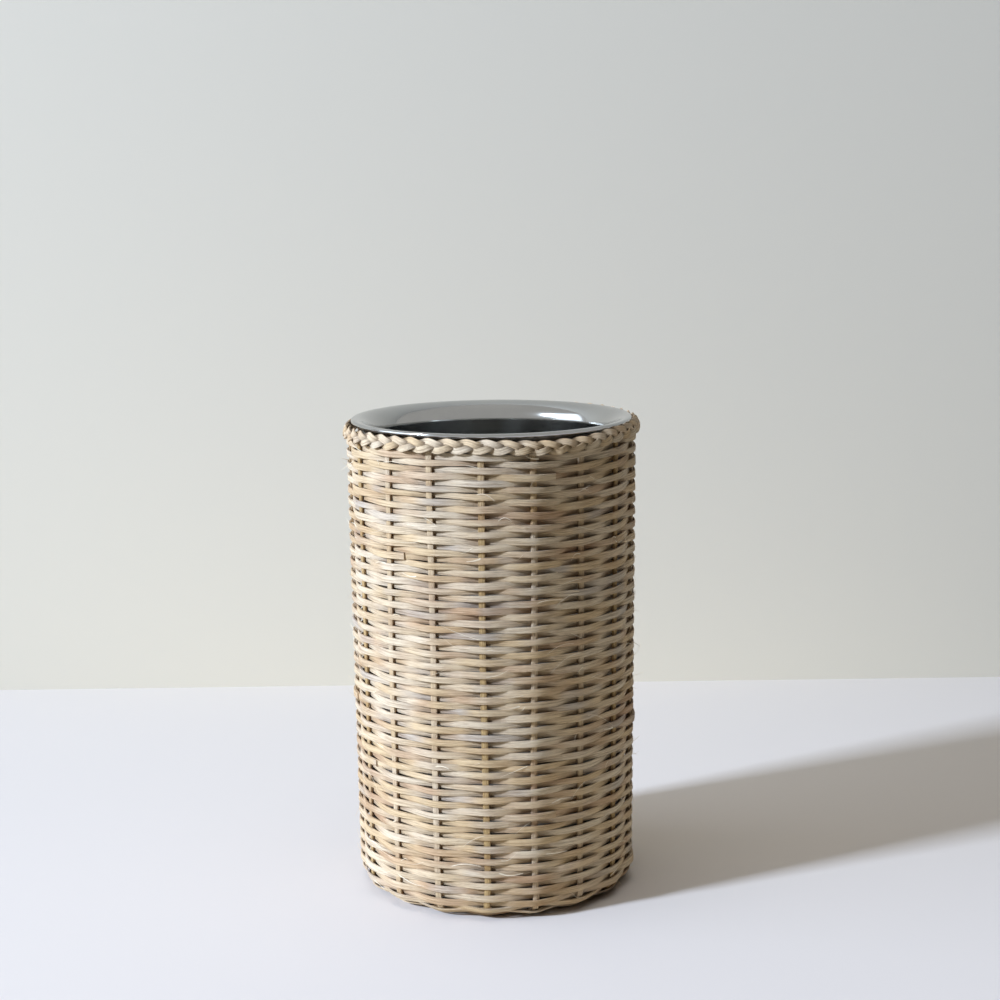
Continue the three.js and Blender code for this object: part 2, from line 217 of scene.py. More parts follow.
class StageSettings(bpy.types.PropertyGroup):
    """Camera, floor and light"""

    camera_distance: length_property("Camera Distance", "From the axis to the camera", 800.0)
    camera_height: length_property("Camera Height", "Of the camera above the floor", 303.3)
    camera_pitch: angle_property("Camera Pitch", "How far the camera looks down", 9.67153)
    camera_roll: angle_property("Camera Roll", "How far the camera leans", -0.69328)
    camera_yaw: angle_property("Camera Yaw", "How far the camera looks to the side", -0.23491)
    camera_lens: number_property("Lens", "Focal length", 68.0, "CAMERA")
    camera_sensor: number_property("Sensor", "Width of the sensor", 36.0, "CAMERA")
    floor_radius: length_property("Floor Radius", "Radius of the floor", 3000.0)
    floor_back: length_property("Floor Back", "Where the floor meets the backdrop", 315.0)
    backdrop_size: length_property("Backdrop Size", "Width and height of the backdrop", 1600.0)
    key_place: place_property("Key Place", "Place of the light at the left", (-2.95, -1.46, 1.74))
    key_size: length_property("Key Size", "Width of the light at the left", 370.0)
    key_power: number_property("Key Power", "Power of the light at the left", 197.0, "POWER")
    side_place: place_property("Side Place", "Place of the broad soft light", (-3.4, -0.3, 1.25))
    side_size: length_property("Side Size", "Width of the broad soft light", 2200.0)
    side_power: number_property("Side Power", "Power of the broad soft light", 38.0, "POWER")
    lamp_aim: length_property("Lamp Aim", "Height that the lights point at", 100.0)
    lamp_colour: colour_property("Lamp Colour", "Light of both lamps", (0.735, 0.85, 1.0))
    plain_colour: colour_property("Plain Colour", "What is seen beyond the floor", (0.52, 0.52, 0.51))
    sky_top: number_property("Sky Top", "Strength of the soft light from above", 3.0)
    sky_narrowness: number_property("Sky Narrowness", "How closely the soft light keeps to the top", 12.0)
    sky_colour: colour_property("Sky Colour", "Soft light from above", (1.0, 0.97, 0.89))
    floor_colour: colour_property("Floor Colour", "Pale floor", linear(225, 220, 221))
    wall_colour: colour_property("Backdrop Colour", "Pale backdrop", linear(231, 224, 214))
    bounce_colour: colour_property("Bounce Colour", "Tint of the light from the floor", (0.95, 0.91, 0.73))


# The basket's form

CROSSING_STEEPNESS = 1.16
STAKE_STRAY_PACE = 9.0
STAKE_STRAY_CHANNEL = 31
TOP_ROW_INSET = 1 / 6
CHANNEL_SPACING = (17.3, 5.1)


def drift(position, channel):
    """Smooth wander between -1 and 1, different in each channel."""
    return noise.noise(Vector((position, *(channel * spacing for spacing in CHANNEL_SPACING))))


def held(value, low, high):
    return max(low, min(high, value))


class Basket:
    """Middle surface of the basket, by the distance along it from the axis."""

    def __init__(self, weave):
        self.weave = weave
        self.stake_count = 4 * weave.sticks_each_way + 1
        self.back_stake = self.stake_count // 2
        self.stake_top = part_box("odd_stake")[1].z
        self.bend_height = weave.floor_level + weave.bend_radius
        self.lean = math.atan2(weave.top_radius - weave.foot_radius, self.stake_top - self.bend_height)
        self.bend_centre = weave.foot_radius - weave.bend_radius * math.cos(self.lean)
        self.bend_length = weave.bend_radius * (math.pi / 2 - self.lean)
        self.wall_start = self.bend_centre + self.bend_length
        self.wall_foot = self.bend_height - weave.bend_radius * math.sin(self.lean)
        self.dome_edge = self.bend_centre - 2 * weave.foot_pitch
        self.first_row = self.bend_centre + weave.row_gap + weave.row_width / 2
        self.last_row = self.distance_at(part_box(WALL_NODES[-1])[1].z) - weave.row_width * TOP_ROW_INSET
        self.row_pitch = (self.last_row - self.first_row) / (weave.rows - 1)
        self.top_count = weave.rows * self.stake_count
        self.front_count = self.top_count - self.back_stake
        self.tuck_count = self.join_count(1, 1)
        self.end_count = self.top_count + weave.step_stakes

    def distance_at(self, height):
        return self.wall_start + (height - self.wall_foot) / math.cos(self.lean)

    def even_angle(self, number):
        return -math.pi / 2 + self.weave.front_turn + number * FULL_TURN / self.stake_count

    def set_angle(self, number, distance):
        """Angle of one stake at a distance: a little towards the front, and never quite upright."""
        even = self.even_angle(number)
        on_wall = held((distance - self.wall_start) / self.weave.bend_radius, 0.0, 1.0)
        channel = STAKE_STRAY_CHANNEL + number % self.stake_count
        stray = self.weave.stake_stray * drift(distance * STAKE_STRAY_PACE, channel)
        return even - self.weave.crowding * math.cos(even) + on_wall * stray

    def stake_angle(self, number, distance):
        """Angle of a stake, or of a place between two stakes."""
        whole = math.floor(number)
        near = self.set_angle(whole, distance)
        return near + (self.set_angle(whole + 1, distance) - near) * (number - whole)

    def section(self, distance):
        """Radius, height and outward normal of the middle surface."""
        weave = self.weave
        bend = weave.bend_radius
        if distance < self.bend_centre:
            share = min(distance / self.dome_edge, 1.0)
            return distance, weave.floor_level + weave.floor_dome * (1 - share * share), 0.0, -1.0
        if distance < self.wall_start:
            turn = math.pi / 2 - (distance - self.bend_centre) / bend
            out, up = math.cos(turn), -math.sin(turn)
            return self.bend_centre + bend * out, self.bend_height + bend * up, out, up
        along = distance - self.wall_start
        out, up = math.cos(self.lean), -math.sin(self.lean)
        return weave.foot_radius + along * math.sin(self.lean), self.wall_foot + along * out, out, up

    def place(self, distance, angle, offset):
        """Point that stands off the middle surface, with the surface's normal and its upward direction."""
        radius, height, out, up = self.section(distance)
        cosine, sine = math.cos(angle), math.sin(angle)
        reach = radius + offset * out
        point = Vector((reach * cosine, reach * sine, height + offset * up))
        normal = Vector((out * cosine, out * sine, up))
        upward = Vector((-up * cosine, -up * sine, out))
        return point, normal, upward

    def row_number(self, count):
        """Rows lie level and step up to the next over a few stakes at the back."""
        turn = math.floor(count / self.stake_count)
        share = min((count - turn * self.stake_count) / self.weave.step_stakes, 1.0)
        return turn + share * share * (3 - 2 * share)

    def wall_distance(self, count):
        return self.first_row + (self.row_number(count) - 1) * self.row_pitch

    def rise(self, angle):
        """How far the top of the wall stands above its mean height."""
        weave = self.weave
        away = math.remainder(angle - weave.sag_side, FULL_TURN) / weave.sag_spread
        return weave.tilt * math.cos(angle - weave.high_side) - weave.sag * math.exp(-away * away)

    def is_outside(self, count):
        return (count - self.front_count) % 2 == 0

    def join_count(self, number, pieces):
        """Count of stakes, from the start of the wall, where one length of strip hands over to the next."""
        start = self.weave.step_stakes + 1
        count = round(start + (self.top_count - start) * number / pieces)
        return count - 1 if self.is_outside(count) else count

    def swing(self, count):
        """1 where a strip passes outside a stake, -1 where it passes inside, and straight between the two.

        The end of the wall is tucked away inside the last few stakes.
        """
        if count > self.tuck_count:
            return -1.0
        away = abs((count - self.front_count + 1) % 2 - 1)
        return held(CROSSING_STEEPNESS * (1 - 2 * away), -1.0, 1.0)


# Sweeps


class Station:
    """One place along a strip: its middle, the direction across it, its size there and how much painted shade
    it gets for lying deep.
    """

    def __init__(self, point, across, width, thickness, sunk=0.0):
        self.point = point
        self.across = across
        self.width = width
        self.thickness = thickness
        self.sunk = sunk


def rounded_power(value, power):
    return math.copysign(abs(value) ** power, value)


def strip_section(steps, roundness):
    """Points round a flat strip with round edges, from the middle of its inner face."""
    points = []
    for step in range(steps + 1):
        turn = FULL_TURN * step / steps
        side = rounded_power(math.sin(turn), roundness) / 2
        face = -rounded_power(math.cos(turn), roundness) / 2
        points.append((side, face))
    return points


STRIP_SECTION = strip_section(steps=12, roundness=0.32)
STAKE_SECTION = strip_section(steps=12, roundness=0.55)
FIBRE_SECTION = strip_section(steps=4, roundness=1.0)


def sweep(bm, stations, section, strand):
    """Adds a closed strip to a mesh: a grid that is bent round the section and along the stations."""
    strip_layer = bm.verts.layers.float_vector.get("strip") or bm.verts.layers.float_vector.new("strip")
    # The second layer carries how much painted shade each station gets.
    crease_shade_layer = bm.verts.layers.float.get("sunk") or bm.verts.layers.float.new("sunk")
    columns, rows = len(section) - 1, len(stations) - 1
    grid = bmesh.ops.create_grid(bm, x_segments=rows, y_segments=columns, size=0.5)
    lengths = [0.0]
    for before, after in zip(stations, stations[1:]):
        lengths.append(lengths[-1] + (after.point - before.point).length)
    outs = []
    for place, station in enumerate(stations):
        before = stations[max(place - 1, 0)].point
        after = stations[min(place + 1, rows)].point
        outs.append((after - before).cross(station.across).normalized())
    ends = []
    seam = []
    for vert in grid["verts"]:
        row = round((vert.co.x + 0.5) * rows)
        column = round((vert.co.y + 0.5) * columns)
        station = stations[row]
        side, face = section[column]
        sideways = station.across * (side * station.width)
        outwards = outs[row] * (face * station.thickness)
        vert.co = station.point + sideways + outwards
        vert[strip_layer] = (lengths[row], column / columns, strand)
        vert[crease_shade_layer] = station.sunk
        if column in (0, columns):
            seam.append(vert)
        if row in (0, rows):
            ends.append(vert)
    bmesh.ops.remove_doubles(bm, verts=seam, dist=SAME_PLACE)
    rims = {edge for vert in ends if vert.is_valid for edge in vert.link_edges if edge.is_boundary}
    bmesh.ops.holes_fill(bm, edges=list(rims), sides=0)


def finish_piece(name, bm, material, body, nodes=()):
    """Turns a mesh into a piece that rides on a body and stands for its CAD nodes."""
    bmesh.ops.recalc_face_normals(bm, faces=bm.faces)
    for face in bm.faces:
        face.smooth = True
    for edge in bm.edges:
        edge.smooth = edge.calc_face_angle(math.pi) < CRISP_EDGE
    mesh = bpy.data.meshes.new(name)
    bm.to_mesh(mesh)
    bm.free()
    piece = bpy.data.objects.new(name, mesh)
    bpy.context.scene.collection.objects.link(piece)
    mesh.materials.append(material)
    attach(piece, body)
    if nodes:
        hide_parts(*nodes)


def strip_piece(name, strips, section, material, slot, *nodes):
    """A piece of the basket made of strips, each given by its stations and its strand number."""
    bm = bmesh.new()
    for stations, strand in strips:
        sweep(bm, stations, section, strand)
    finish_piece(name, bm, material, "basket", nodes)


# Strips

HONEY_STAKES = (0, 3, 5)
STEPS_PER_STAKE = 10
STAKE_STEPS = {"wall": 40, "bend": 10, "floor": 8}
CROSSING_SHARES = (1.0, 0.5, 0.0, -0.5, -1.0)

# Strand numbers, which set the tones of one group of strips apart from the next
STRANDS = {"wall": 1, "stake": 600, "odd_stake": 620, "foot": 640, "floor": 650, "plait": 660, "loose": 700}

# How strips change along their length: the most they change, the pace and the channel of noise
DRIFTS = {
    "height": (0.8, 0.5, 0),
    "quiver": (0.6, 1.6, 40),
    "stand_off": (0.1, 0.8, 80),
    "twist": (math.radians(11), 0.6, 120),
    "width": (0.26, 0.3, 160),
    "plait_height": (0.12, 0.09, 500),
    "plait_width": (0.14, 0.11, 520),
}
ROW_WAVES_ROUND = 3
ROW_WAVES_UP = 45
STEADY_TOP = 8 * MM
SLOPE_NARROWING = 0.04
# Painted shade on a wall strip where it passes inside a stake.
WALL_CREASE_SHADE = 0.26
FLAT_STEEPNESS = 1.2

# Lengths of strip, in stakes passed: the longest last length, the range of the others, and their tails
LAST_LENGTH = 120
JOIN_RANGE = (56, 100)
END_GAP = 0.02
TAIL = 1.42
TAIL_RAMP = 0.6
TAIL_LIFT = 0.95

PLAIT_STEPS = 20
PLAIT_STRAIGHTNESS = 0.9
PLAIT_SLOPE_STEP = math.radians(6)
# Painted shade on a plait strand where it dives in, and the turn by which that shade is shifted from the
# dive.
PLAIT_CREASE_SHADE = 0.3
PLAIT_CREASE_SHADE_TURN = math.pi / 4

# Ranges in millimetres. The climb is a share of the length and a length of its own.
LOOSE_KINDS = {
    "fibres": {"length": (3.0, 16.0), "width": (0.18, 0.36), "rise": (0.6, 4.0), "climb": (0.6, 0.0)},
    "slivers": {"length": (5.0, 11.0), "width": (0.45, 0.9), "rise": (0.2, 1.3), "climb": (0.0, 2.0)},
}
FIRST_LOOSE_ROW = 2
FIBRE_STEPS = 7
FIBRE_START = 0.35
FIBRE_CURL = 1.4
FIBRE_ROOT = 0.1 * MM
FIBRE_THICKNESS = 0.2 * MM
FIBRE_TAPER = 0.75


def strip_drift(kind, place, strand):
    most, pace, channel = DRIFTS[kind]
    return most * drift(place * pace, strand + channel)


def even_steps(first, last, steps):
    """Values from the first to the last, both taken in."""
    return [first + (last - first) * step / steps for step in range(steps + 1)]


def wall_stations(basket, first, last, strand, tail_from=None):
    """A strip over one stake and under the next, with small changes of height, width and stand-off."""
    weave = basket.weave
    stations = []
    for count in even_steps(first, last, max(2, round((last - first) * STEPS_PER_STAKE))):
        swing = basket.swing(count)
        distance = basket.wall_distance(count)
        angle = basket.stake_angle(basket.back_stake + count, distance)
        stray = strip_drift("height", count, strand) + strip_drift("quiver", count, strand)
        around = (ROW_WAVES_ROUND * math.cos(angle), ROW_WAVES_ROUND * math.sin(angle))
        wave = noise.noise(Vector((*around, distance * ROW_WAVES_UP)))
        below = basket.last_row - distance
        distance += weave.wander * stray + weave.row_wave * wave * min(below / STEADY_TOP, 1.0)
        distance += basket.rise(angle) * held(1 - below / weave.tilt_reach, 0.0, 1.0)
        offset = weave.weave_depth * (1 + strip_drift("stand_off", count, strand)) * swing
        if tail_from is not None and count > tail_from:
            offset += TAIL_LIFT * weave.strip_thickness * min((count - tail_from) / TAIL_RAMP, 1.0)
        point, normal, upward = basket.place(distance, angle, offset)
        twist = strip_drift("twist", count, strand)
        across = upward * math.cos(twist) + normal * math.sin(twist)
        narrowing = 1 - SLOPE_NARROWING * (1 - swing * swing)
        width = weave.strip_width * narrowing * (1 + strip_drift("width", count, strand))
        # Painted shade where the strip passes inside a stake.
        stations.append(Station(point, across, width, weave.strip_thickness, WALL_CREASE_SHADE * max(0.0, -swing)))
    return stations


def strip_lengths(basket, first, last, rng):
    """Lengths of strip from one end of a weaver to the other. Each but the last has a tail past its join."""
    lengths = []
    start = first
    while last - start > LAST_LENGTH:
        join = start + rng.randrange(*JOIN_RANGE)
        join += 1 if basket.is_outside(join) else 0
        lengths.append((start, join + TAIL, join))
        start = join
    lengths.append((start, last - END_GAP, None))
    return lengths


def flat_weaver_stations(basket, first, last, distance_at, stand_off, width, thickness):
    """A strip of the foot or the floor, which lies level across each stake."""
    stations = []
    for count in even_steps(first, last, round((last - first) * STEPS_PER_STAKE)):
        swing = held(FLAT_STEEPNESS * basket.swing(count), -1.0, 1.0)
        distance = distance_at(count)
        angle = basket.stake_angle(basket.back_stake + count, distance)
        point, _, upward = basket.place(distance, angle, stand_off * swing)
        stations.append(Station(point, upward, width, thickness))
    return stations


def stake_end(basket, number, end_distance):
    """Points down a stake from its top to a distance in the floor, each with its outward normal."""
    sag = min(basket.rise(basket.even_angle(number)), 0.0) / 2
    top = basket.distance_at(basket.stake_top - basket.weave.stake_drop + sag)
    distances = even_steps(top, basket.wall_start, STAKE_STEPS["wall"])[:-1]
    distances += even_steps(basket.wall_start, basket.bend_centre, STAKE_STEPS["bend"])[:-1]
    distances += even_steps(basket.bend_centre, end_distance, STAKE_STEPS["floor"])
    return [basket.place(distance, basket.set_angle(number, distance), 0.0)[:2] for distance in distances]


def stake_stations(path, weave):
    stations = []
    for place, (point, normal) in enumerate(path):
        before = path[max(place - 1, 0)][0]
        after = path[min(place + 1, len(path) - 1)][0]
        across = normal.cross(after - before).normalized()
        stations.append(Station(point, across, weave.stake_width, weave.stake_thickness))
    return stations


def long_stake_path(basket, way, stick):
    """A stake that runs down one side, through the crossing under the floor and up the other side."""
    weave = basket.weave
    half = weave.sticks_each_way
    middle = (half - 1) / 2
    near, far = way * half, (way + 2) * half
    angle = (basket.even_angle(near + middle) + basket.even_angle(far + middle) - math.pi) / 2
    along = Vector((math.cos(angle), math.sin(angle), 0.0))
    sidewise = Vector((-along.y, along.x, 0.0)) * (stick - middle) * (weave.stake_width + weave.fit_gap)
    layer = (weave.stake_thickness + weave.fit_gap) / 2 * (-1 if way == 0 else 1)
    height = Vector((0.0, 0.0, weave.floor_level + weave.floor_dome + layer))
    down = Vector((0.0, 0.0, -1.0))
    reaches = [weave.crossing_reach * share for share in CROSSING_SHARES]
    crossing = [(along * reach + sidewise + height, down) for reach in reaches]
    near_end = stake_end(basket, near + stick, weave.fan_radius)
    far_end = stake_end(basket, far + half - 1 - stick, weave.fan_radius)
    return near_end + crossing + far_end[::-1]


def zigzag(turn):
    """A sine wave with straighter slopes, between -1 and 1."""
    return math.asin(PLAIT_STRAIGHTNESS * math.sin(turn)) / math.asin(PLAIT_STRAIGHTNESS)


def plait_stations(basket, plait, strand):
    """One strand of the border, which dives as it passes over the top and again under the bottom."""
    low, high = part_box(PLAIT_NODES[0])
    middle_height = (low.z + high.z) / 2
    inner = basket.weave.top_radius + basket.weave.stake_thickness / 2
    radius = inner + plait.depth + plait.strand_thickness / 2 - plait.inset
    steps = plait.repeats * PLAIT_STEPS
    stations = []
    for step in range(steps + 1):
        turn = FULL_TURN * step / PLAIT_STEPS
        angle = math.pi / 2 + FULL_TURN * (step / steps + strand / len(PLAIT_NODES) / plait.repeats)
        lift = plait.lift + basket.rise(angle)
        climbed = zigzag(turn)
        height = middle_height + lift + plait.swing * (climbed + strip_drift("plait_height", step, strand))
        reach = radius - plait.depth * math.sin(2 * turn) - math.tan(plait.lean) * plait.swing * climbed
        out = Vector((math.cos(angle), math.sin(angle), 0.0))
        climb = zigzag(turn + PLAIT_SLOPE_STEP) - zigzag(turn - PLAIT_SLOPE_STEP)
        slope = plait.swing * climb / (2 * PLAIT_SLOPE_STEP) * plait.repeats / radius
        run = Vector((-out.y, out.x, slope)).normalized()
        across = Matrix.Rotation(-plait.roll * math.sin(turn) - plait.lean, 3, run) @ out.cross(run)
        width = plait.strand_width * (1 + strip_drift("plait_width", step, strand))
        # Painted shade where the strand dives in under its neighbours.
        sunk = max(0.0, PLAIT_CREASE_SHADE + math.sin(2 * turn + PLAIT_CREASE_SHADE_TURN))
        point = Vector((reach * math.cos(angle), reach * math.sin(angle), height))
        stations.append(Station(point, across, width, plait.strand_thickness, sunk))
    return stations


def fibre_stations(basket, rng, kind):
    """A hair or a peeled sliver that lifts off a strip where it passes outside a stake."""
    weave = basket.weave
    ranges = LOOSE_KINDS[kind]
    row = rng.randrange(FIRST_LOOSE_ROW, weave.rows - 1)
    count = row * basket.stake_count + rng.randrange(basket.stake_count)
    count += 0 if basket.is_outside(count) else 1
    count += rng.uniform(-FIBRE_START, FIBRE_START)
    length, width, rise = (rng.uniform(*ranges[size]) * MM for size in ("length", "width", "rise"))
    climb_share, climb_length = ranges["climb"]
    climb = rng.uniform(-1.0, 1.0) * (climb_share * length + climb_length * MM)
    curl = rng.uniform(-FIBRE_CURL, FIBRE_CURL) * MM
    way = rng.choice((-1, 1))
    start_distance = basket.wall_distance(count) + rng.uniform(-1.0, 1.0) * MM
    start_angle = basket.stake_angle(basket.back_stake + count, start_distance)
    skin = weave.weave_depth * basket.swing(count) + weave.strip_thickness / 2
    stations = []
    for share in even_steps(0.0, 1.0, FIBRE_STEPS):
        angle = start_angle + way * share * length / weave.top_radius
        distance = start_distance + climb * share * share + curl * math.sin(math.pi * share)
        point, _, upward = basket.place(distance, angle, skin + rise * share * share - FIBRE_ROOT)
        taper = 1.0 - FIBRE_TAPER * share
        stations.append(Station(point, upward, width * taper, min(width, FIBRE_THICKNESS) * taper))
    return stations


# Materials

WHOLE = (0.0, 1.0)
BLACK = (0.0, 0.0, 0.0)

# Places of the colour sockets on a Mix node, which has others of the same names
MIX_FIRST, MIX_SECOND, MIX_RESULT = 6, 7, 2

# Four tones of each rattan, the commonest first, and how fine its fibres are across the strip
RATTAN_KINDS = {
    "Split Rattan": (("cream", "straw", "rosy", "silver"), 2.8),
    "Stake Rattan": (("straw", "cream", "honey", "rosy"), 4.0),
    "Honey Stake Rattan": (("honey", "honey", "straw", "honey"), 4.0),
    "Plaited Rattan": (("cream", "straw", "straw", "straw"), 3.0),
}
LOOSE_TONES = ("hair", "cream", "straw", "hair")
TONE_SOCKETS = ("First", "Second", "Third", "Fourth")

# For each tone after the first: how far apart strands are in its noise, its layer and where it shows
TONE_STEPS = {
    "Second": (13.1, 0.0, (0.42, 0.6)),
    "Third": (7.7, 40.0, (0.54, 0.68)),
    "Fourth": (5.3, 80.0, (0.57, 0.68)),
}

# The colour of each steel, its roughness from its clearest to its dullest, and how brushed it is
STEEL_KINDS = {
    "Polished Steel": ("steel", (0.09, 0.17), 0.0),
    "Satin Steel": ("satin", (0.2, 0.34), 0.88),
}

# Repeats of each pattern in a metre, and the values of its noise or share between which it shows
TONES_PER_METRE = 22.0
STREAKS_PER_METRE = 60.0
STREAK_RANGE = (0.36, 0.64)
STREAK_DARK = (0.0, 0.65)
BLOTCHES_PER_METRE = 160.0
BLOTCHES_ACROSS = 2.0
BLOTCH_RANGE = (0.42, 0.75)
BLOTCH_DARK = (0.5, 1.0)
PATCHES_PER_METRE = (22.0, 22.0, 75.0)
PATCH_RANGE = (0.5, 0.72)
EDGE_RANGE = (0.7, 1.0)
RINGS_PER_METRE = 900.0
RING_RANGE = (0.3, 0.7)
HAZE_PER_METRE = 38.0
HAZE_RANGE = (0.35, 0.7)
STRAND_SHIFT = 31.7

SKIN_ROUGHNESS = (0.72, 0.5)
SKIN_GLOSS = 0.35
SKIN_BUMP = (0.8, 0.35 * MM)
LOOSE_ROUGHNESS = 0.5
RING_BUMP = (0.05, 0.02 * MM)
DULL_STEEL = 0.9

# The planes are dulled where the lamp is close, and far from the object for light that only bounces
NEAR_LAMP = (0.4, 1.8)
NEAR_LAMP_DULL = (0.0, 0.75)
FAR_AWAY = (0.32, 0.7)
FAR_AWAY_DULL = (0.0, 0.8)
PLANE_ROUGHNESS = 0.9


def shared(items, maker, name, *settings):
    """The material or group of that name, made if it isn't there."""
    return items.get(name) or maker(name, *settings)


def new_group(name, inputs, outputs):
    """A shader node group with named sockets, each given with its kind."""
    group = bpy.data.node_groups.new(name, "ShaderNodeTree")
    for way, sockets in (("INPUT", inputs), ("OUTPUT", outputs)):
        for label, kind in sockets.items():
            group.interface.new_socket(label, in_out=way, socket_type=f"NodeSocket{kind}")
    return group, group.nodes.new("NodeGroupInput").outputs, group.nodes.new("NodeGroupOutput").inputs


def place_group(tree, maker, name, **values):
    """Places a group in a material with its own values."""
    node = tree.nodes.new("ShaderNodeGroup")
    node.node_tree = shared(bpy.data.node_groups, maker, name)
    for label, value in values.items():
        connect(tree, value, node.inputs[label])
    return node.outputs


def new_material(name):
    material = bpy.data.materials.new(name)
    material.use_nodes = True
    tree = material.node_tree
    return material, tree, tree.nodes["Principled BSDF"]


def connect(tree, source, socket):
    """Joins a socket to a node's output, or sets it to a plain value."""
    if isinstance(source, bpy.types.NodeSocket):
        tree.links.new(source, socket)
    else:
        socket.default_value = source


def opaque(colour):
    return (*colour, 1.0)


def maths(tree, operation, first, second=0.0):
    node = tree.nodes.new("ShaderNodeMath")
    node.operation = operation
    connect(tree, first, node.inputs[0])
    connect(tree, second, node.inputs[1])
    return node.outputs[0]


def vector_maths(tree, operation, first, second=(0.0, 0.0, 0.0)):
    node = tree.nodes.new("ShaderNodeVectorMath")
    node.operation = operation
    connect(tree, first, node.inputs[0])
    connect(tree, second, node.inputs[1])
    return node.outputs


def spread(tree, value, limits, results=WHOLE):
    """Maps one range of values to another, held at its ends."""
    node = tree.nodes.new("ShaderNodeMapRange")
    connect(tree, value, node.inputs["Value"])
    for label, number in zip(("From Min", "From Max", "To Min", "To Max"), (*limits, *results)):
        node.inputs[label].default_value = number
    return node.outputs["Result"]


def mixed(tree, share, first, second, blend="MIX"):
    node = tree.nodes.new("ShaderNodeMix")
    node.data_type = "RGBA"
    node.blend_type = blend
    connect(tree, share, node.inputs[0])
    connect(tree, first, node.inputs[MIX_FIRST])
    connect(tree, second, node.inputs[MIX_SECOND])
    return node.outputs[MIX_RESULT]


def split(tree, vector):
    node = tree.nodes.new("ShaderNodeSeparateXYZ")
    tree.links.new(vector, node.inputs[0])
    return node.outputs


def joined(tree, x, y, z):
    node = tree.nodes.new("ShaderNodeCombineXYZ")
    for socket, value in zip(node.inputs, (x, y, z)):
        connect(tree, value, socket)
    return node.outputs[0]


def noise_value(tree, vector, detail=2.0, roughness=0.55, scale=1.0):
    node = tree.nodes.new("ShaderNodeTexNoise")
    connect(tree, vector, node.inputs["Vector"])
    node.inputs["Scale"].default_value = scale
    node.inputs["Detail"].default_value = detail
    node.inputs["Roughness"].default_value = roughness
    return node.outputs["Fac"]


def attribute(tree, name):
    node = tree.nodes.new("ShaderNodeAttribute")
    node.attribute_name = name
    return node.outputs


def object_place(tree):
    return tree.nodes.new("ShaderNodeTexCoord").outputs["Object"]


def add_bump(tree, shader, height, bump):
    strength, depth = bump
    node = tree.nodes.new("ShaderNodeBump")
    node.inputs["Strength"].default_value = strength
    node.inputs["Distance"].default_value = depth
    tree.links.new(height, node.inputs["Height"])
    tree.links.new(node.outputs["Normal"], shader.inputs["Normal"])


def fibre_group(name):
    """Fine fibres that run along a strip, with painted shade at its edges and the odd knot."""
    group, source, result = new_group(
        name,
        {"Strip": "Vector", "Fineness": "Float"},
        {"Fibre": "Float", "Edge": "Float", "Blotch": "Float"},
    )
    along, around, strand = split(group, source["Strip"])
    turns = maths(group, "MULTIPLY", around, FULL_TURN)
    side = maths(group, "SINE", turns)
    face = maths(group, "COSINE", turns)
    shift = maths(group, "MULTIPLY", strand, STRAND_SHIFT)
    streak_length = maths(group, "ADD", maths(group, "MULTIPLY", along, STREAKS_PER_METRE), shift)
    fine_side = maths(group, "MULTIPLY", side, source["Fineness"])
    streaks = noise_value(group, joined(group, streak_length, fine_side, face), detail=5.0, roughness=0.68)
    blotch_length = maths(group, "ADD", maths(group, "MULTIPLY", along, BLOTCHES_PER_METRE), shift)
    blotch_side = maths(group, "MULTIPLY", side, BLOTCHES_ACROSS)
    blotches = noise_value(group, joined(group, blotch_length, blotch_side, strand))
    group.links.new(spread(group, streaks, STREAK_RANGE), result["Fibre"])
    # Edge is the mask of the painted shade along the strip's edges.
    group.links.new(spread(group, maths(group, "ABSOLUTE", side), EDGE_RANGE), result["Edge"])
    group.links.new(spread(group, blotches, BLOTCH_RANGE), result["Blotch"])
    return group


def tone_group(name):
    """Slow changes of colour along a length of rattan and from one length to the next."""
    tones = {socket: "Color" for socket in TONE_SOCKETS}
    group, source, result = new_group(name, {"Strip": "Vector", **tones}, {"Color": "Color"})
    along, _, strand = split(group, source["Strip"])
    slow = maths(group, "MULTIPLY", along, TONES_PER_METRE)
    colour = source[TONE_SOCKETS[0]]
    for socket, (apart, layer, limits) in TONE_STEPS.items():
        tone = noise_value(group, joined(group, slow, maths(group, "MULTIPLY", strand, apart), layer))
        colour = mixed(group, spread(group, tone, limits), colour, source[socket])
    group.links.new(colour, result["Color"])
    return group


def turned_group(name):
    """Fine lines that run round a turned sheet, and a light haze."""
    group, source, result = new_group(name, {"Place": "Vector"}, {"Rings": "Float", "Haze": "Float"})
    x, y, z = split(group, source["Place"])
    square = maths(group, "ADD", maths(group, "MULTIPLY", x, x), maths(group, "MULTIPLY", y, y))
    height_lines = maths(group, "MULTIPLY", z, RINGS_PER_METRE)
    radius_lines = maths(group, "MULTIPLY", maths(group, "SQRT", square), RINGS_PER_METRE)
    turn = maths(group, "ARCTAN2", y, x)
    rings = noise_value(group, joined(group, height_lines, radius_lines, turn))
    haze = noise_value(group, source["Place"], detail=4.0, roughness=0.6, scale=HAZE_PER_METRE)
    group.links.new(rings, result["Rings"])
    group.links.new(spread(group, haze, HAZE_RANGE), result["Haze"])
    return group


def rattan_tone(tree, strip, finish, tones):
    """The slow changes of tone along each strip."""
    colours = {socket: opaque(getattr(finish, tone)) for socket, tone in zip(TONE_SOCKETS, tones)}
    return place_group(tree, tone_group, "Rattan Tone", Strip=strip, **colours)["Color"]


